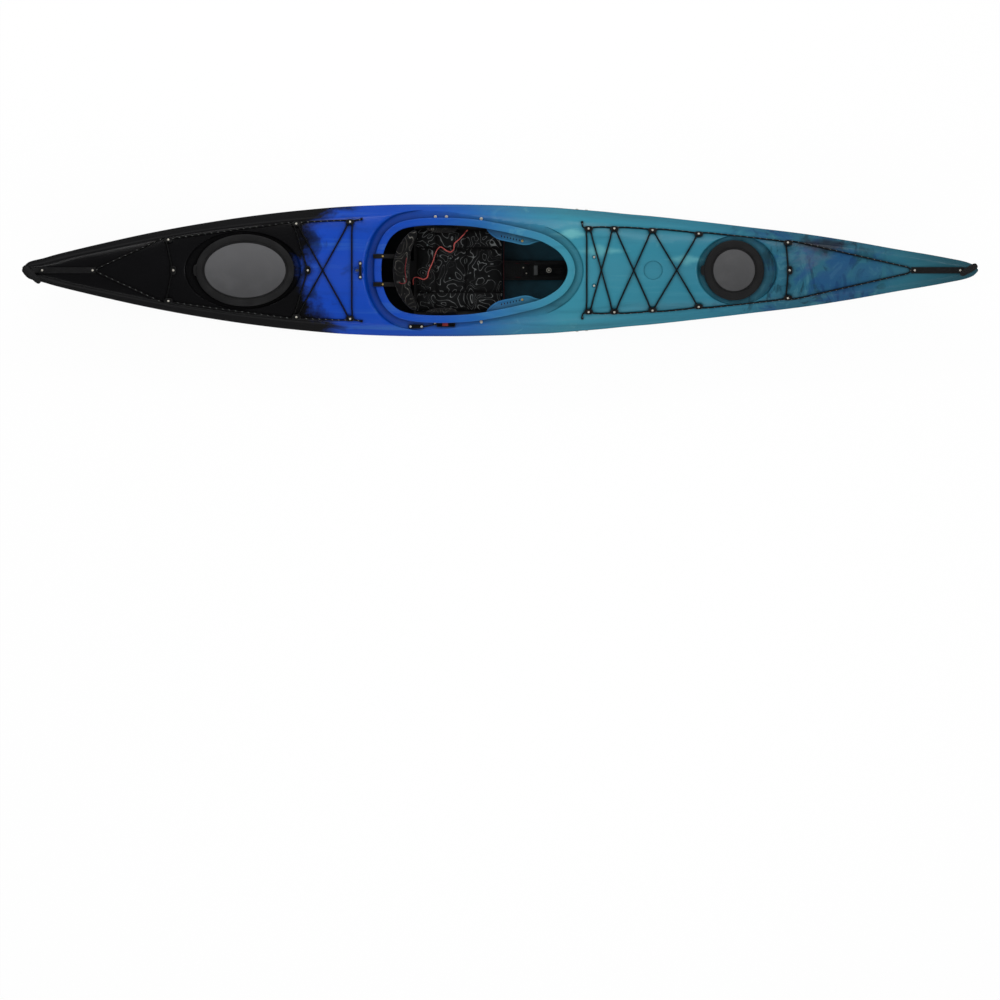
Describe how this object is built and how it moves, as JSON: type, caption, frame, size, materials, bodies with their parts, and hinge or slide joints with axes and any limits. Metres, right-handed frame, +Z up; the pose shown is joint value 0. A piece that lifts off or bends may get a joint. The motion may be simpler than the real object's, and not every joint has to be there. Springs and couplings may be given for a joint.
{
  "type": "sea kayak",
  "caption": "Moulded sea kayak with cockpit and adjustable seat, hatches with rubber lids, drop-down skeg with its deck control, footrests, carry handles and deck lines",
  "frame": {"origin": "on the flat of the keel, below mid-length, on the centreline", "axes": "+X to the bow, +Y to port, +Z up"},
  "size_m": [4.42, 0.61, 0.4208],
  "materials": {
    "hull_plastic": "semi-gloss moulded polyethylene",
    "deck_plastic": "semi-gloss moulded polyethylene",
    "hatch_rubber": "matt moulded rubber",
    "foam": "closed-cell foam",
    "black_plastic": "satin moulded plastic",
    "red_plastic": "satin moulded plastic",
    "brace_plastic": "semi-gloss sheet plastic",
    "steel": "brushed stainless steel",
    "seat_fabric": "woven cloth over foam",
    "webbing": "woven webbing",
    "black_cord": "braided cord",
    "red_cord": "braided cord"
  },
  "bodies": {
    "boat": {"hull_shell": "hull_plastic", "deck_shell": "deck_plastic", "rear_bulkhead": "foam", "front_bulkhead": "foam", "skeg_box": "black_plastic", "skeg_cleat": "black_plastic", "skeg_fairlead": "black_plastic", "skeg_line": "black_cord", "seat_track": "black_plastic", "seat_clamp_bolt": "steel", "back_strap_port": "webbing", "back_strap_starboard": "webbing", "footrest_rail_port": "black_plastic", "footrest_rail_starboard": "black_plastic", "stern_handle_strap": "webbing", "bow_handle_strap": "webbing", "rear_pad_eye": "black_plastic", "deck_fitting_stern_port": "black_plastic", "deck_fitting_stern_starboard": "black_plastic", "deck_fitting_rear_port": "black_plastic", "deck_fitting_rear_starboard": "black_plastic", "deck_fitting_aft_port": "black_plastic", "deck_fitting_aft_starboard": "black_plastic", "deck_fitting_front_1_port": "black_plastic", "deck_fitting_front_1_starboard": "black_plastic", "deck_fitting_front_2_port": "black_plastic", "deck_fitting_front_2_starboard": "black_plastic", "deck_fitting_front_3_port": "black_plastic", "deck_fitting_front_3_starboard": "black_plastic", "deck_fitting_front_4_port": "black_plastic", "deck_fitting_front_4_starboard": "black_plastic", "deck_fitting_bow_port": "black_plastic", "deck_fitting_bow_starboard": "black_plastic", "deck_hook_stern": "black_plastic", "deck_hook_rear": "black_plastic", "deck_hook_bow": "black_plastic", "rear_grab_line": "black_cord", "front_grab_line": "black_cord", "front_stretch_cord": "black_cord", "rear_stretch_cord": "black_cord", "stern_stretch_cord": "black_cord", "bow_stretch_cord": "black_cord"},
    "rear_lid": {"rear_hatch_lid": "hatch_rubber"},
    "bow_lid": {"bow_hatch_lid": "hatch_rubber"},
    "skeg": {"skeg_blade": "black_plastic"},
    "slider": {"skeg_slider": "red_plastic"},
    "seat": {"seat_pan": "black_plastic", "seat_cushion": "seat_fabric", "hip_pad_port": "seat_fabric", "hip_pad_starboard": "seat_fabric", "seat_tongue": "black_plastic", "seat_cord": "red_cord"},
    "backrest": {"back_band": "seat_fabric"},
    "brace_port": {"thigh_brace_port": "brace_plastic"},
    "brace_starboard": {"thigh_brace_starboard": "brace_plastic"},
    "pedal_port": {"foot_pedal_port": "black_plastic"},
    "pedal_starboard": {"foot_pedal_starboard": "black_plastic"},
    "stern_grip": {"stern_handle_grip": "webbing"},
    "bow_grip": {"bow_handle_grip": "webbing"}
  },
  "joints": [
    {"name": "rear_lid_lift", "type": "slide", "parent": "boat", "child": "rear_lid", "axis": [0.02, 0, 0.9998], "range_m": [0, 0.15]},
    {"name": "bow_lid_lift", "type": "slide", "parent": "boat", "child": "bow_lid", "axis": [0.056, 0, 0.9984], "range_m": [0, 0.15]},
    {"name": "skeg_drop", "type": "hinge", "parent": "boat", "child": "skeg", "pos_m": [-1.69, 0, 0.09765], "axis": [0, 1, 0], "range_deg": [-50, 0]},
    {"name": "slider_slide", "type": "slide", "parent": "boat", "child": "slider", "axis": [0.9945, 0, 0.1048], "range_m": [-0.0225, 0]},
    {"name": "seat_slide", "type": "slide", "parent": "boat", "child": "seat", "axis": [1, 0, 0], "range_m": [0, 0.04]},
    {"name": "back_band_tilt", "type": "hinge", "parent": "boat", "child": "backrest", "pos_m": [-0.425, 0, 0.148], "axis": [0, 1, 0], "range_deg": [0, 18]},
    {"name": "brace_port_slide", "type": "slide", "parent": "boat", "child": "brace_port", "axis": [0.9604, -0.2099, 0.183], "range_m": [0, 0.085]},
    {"name": "brace_starboard_slide", "type": "slide", "parent": "boat", "child": "brace_starboard", "axis": [0.9604, 0.2099, 0.183], "range_m": [0, 0.085]},
    {"name": "pedal_port_slide", "type": "slide", "parent": "boat", "child": "pedal_port", "axis": [0.9942, -0.108, 0], "range_m": [-0.12, 0.12]},
    {"name": "pedal_starboard_slide", "type": "slide", "parent": "boat", "child": "pedal_starboard", "axis": [0.9942, 0.108, 0], "range_m": [-0.12, 0.12]},
    {"name": "stern_grip_lift", "type": "hinge", "parent": "boat", "child": "stern_grip", "pos_m": [-2.1337, 0, 0.3531], "axis": [0, 1, 0], "range_deg": [0, 40]},
    {"name": "bow_grip_lift", "type": "hinge", "parent": "boat", "child": "bow_grip", "pos_m": [2.1447, 0, 0.37941], "axis": [0, -1, 0], "range_deg": [0, 15]}
  ],
  "couplings": [
    {"joint": "slider_slide", "follows": "skeg_drop", "m_per_rad": 0.025}
  ]
}
